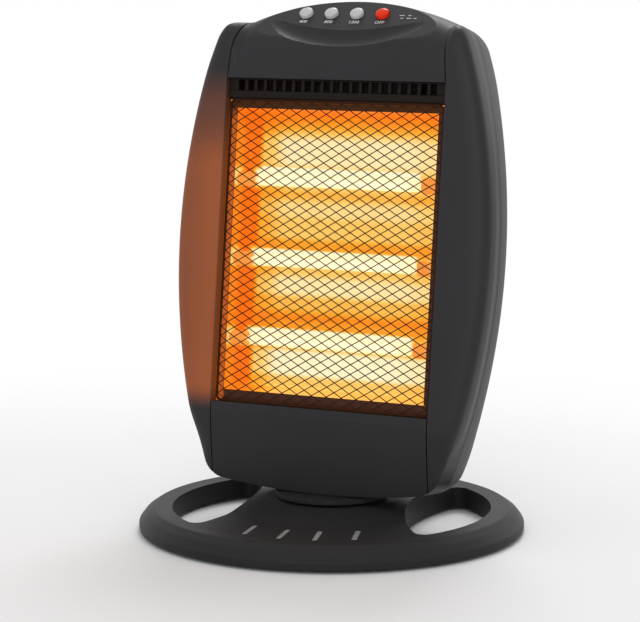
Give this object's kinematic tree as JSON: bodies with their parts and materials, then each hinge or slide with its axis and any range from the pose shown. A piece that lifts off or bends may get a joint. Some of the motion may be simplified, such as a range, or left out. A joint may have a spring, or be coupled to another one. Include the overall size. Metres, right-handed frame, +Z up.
{
  "type": "halogen heater",
  "caption": "Upright oscillating halogen heater: leaning barrel-curved head with wire-guarded quartz tubes and top push buttons, turning on a round open base.",
  "frame": {"origin": "on the floor, on the axis that the head turns about, at the centre of the round base", "axes": "+Z up; the head's front faces -Y at rest, and +X is to the right of someone who looks at its front"},
  "size_m": [0.35, 0.35, 0.4755],
  "materials": {
    "shell_plastic": "satin charcoal moulding",
    "back_plastic": "matte dark grey moulding",
    "base_plastic": "satin charcoal moulding",
    "inner_plastic": "matte black moulding",
    "rubber": "black rubber",
    "bronze_metal": "dark bronze enamel",
    "guard_wire": "dark coated steel wire",
    "reflector_metal": "bright reflector sheet",
    "steel": "plain steel",
    "quartz": "quartz glass round a lit filament",
    "ceramic": "matte white ceramic",
    "cap_grey": "pale grey push caps",
    "cap_red": "red-orange push cap"
  },
  "bodies": {
    "base": {"base_shell": "base_plastic", "base_bottom_plate": "inner_plastic", "tip_switch_body": "inner_plastic", "pivot_spindle": "steel", "foot_1": "rubber", "foot_2": "rubber", "foot_3": "rubber", "foot_4": "rubber", "drive_yoke": "steel"},
    "tip_plunger": {"tip_plunger": "inner_plastic"},
    "head": {"turntable_disc": "base_plastic", "gear_motor": "steel", "terminal_block": "ceramic", "front_top_panel": "shell_plastic", "front_bottom_panel": "shell_plastic", "left_side_panel": "shell_plastic", "right_side_panel": "shell_plastic", "back_shell": "back_plastic", "vent_grille": "shell_plastic", "window_sill": "bronze_metal", "bezel_left": "bronze_metal", "bezel_right": "bronze_metal", "mesh_guard": "guard_wire", "reflector": "reflector_metal", "tube_bracket_left": "steel", "tube_bracket_right": "steel", "switch_bank": "inner_plastic", "thermal_cutout": "ceramic", "cord_gland": "rubber", "quartz_tube_1": "quartz", "quartz_tube_2": "quartz", "quartz_tube_3": "quartz", "ceramic_left_1": "ceramic", "ceramic_right_1": "ceramic", "ceramic_left_2": "ceramic", "ceramic_right_2": "ceramic", "ceramic_left_3": "ceramic", "ceramic_right_3": "ceramic", "rear_screw_left_1": "steel", "rear_screw_left_2": "steel", "rear_screw_left_3": "steel", "rear_screw_right_1": "steel", "rear_screw_right_2": "steel", "rear_screw_right_3": "steel"},
    "crank": {"motor_crank": "inner_plastic"},
    "button_1": {"button_1": "cap_grey"},
    "button_2": {"button_2": "cap_grey"},
    "button_3": {"button_3": "cap_grey"},
    "button_4": {"button_4": "cap_red"}
  },
  "joints": [
    {"name": "head_swing", "type": "hinge", "parent": "base", "child": "head", "pos_m": [0, 0, 0.033], "axis": [0, 0, 1], "range_deg": [-22, 48]},
    {"name": "crank_turn", "type": "hinge", "parent": "head", "child": "crank", "pos_m": [0.02819, 0.01026, 0.0595], "axis": [0, 0, 1], "range_deg": [-144, 66]},
    {"name": "tip_plunger_slide", "type": "slide", "parent": "base", "child": "tip_plunger", "axis": [0, 0, 1], "range_m": [-0.004, 0], "stiffness_N_per_m": 20, "springref_m": -0.008},
    {"name": "button_1_press", "type": "slide", "parent": "head", "child": "button_1", "axis": [0, 0.6101, -0.7923], "range_m": [0, 0.004], "stiffness_N_per_m": 400, "springref_m": -0.001},
    {"name": "button_2_press", "type": "slide", "parent": "head", "child": "button_2", "axis": [0, 0.6101, -0.7923], "range_m": [0, 0.004], "stiffness_N_per_m": 400, "springref_m": -0.001},
    {"name": "button_3_press", "type": "slide", "parent": "head", "child": "button_3", "axis": [0, 0.6101, -0.7923], "range_m": [0, 0.004], "stiffness_N_per_m": 400, "springref_m": -0.001},
    {"name": "button_4_press", "type": "slide", "parent": "head", "child": "button_4", "axis": [0, 0.6101, -0.7923], "range_m": [0, 0.004], "stiffness_N_per_m": 400, "springref_m": -0.001}
  ],
  "couplings": [
    {"joint": "crank_turn", "follows": "head_swing", "ratio": -3}
  ]
}
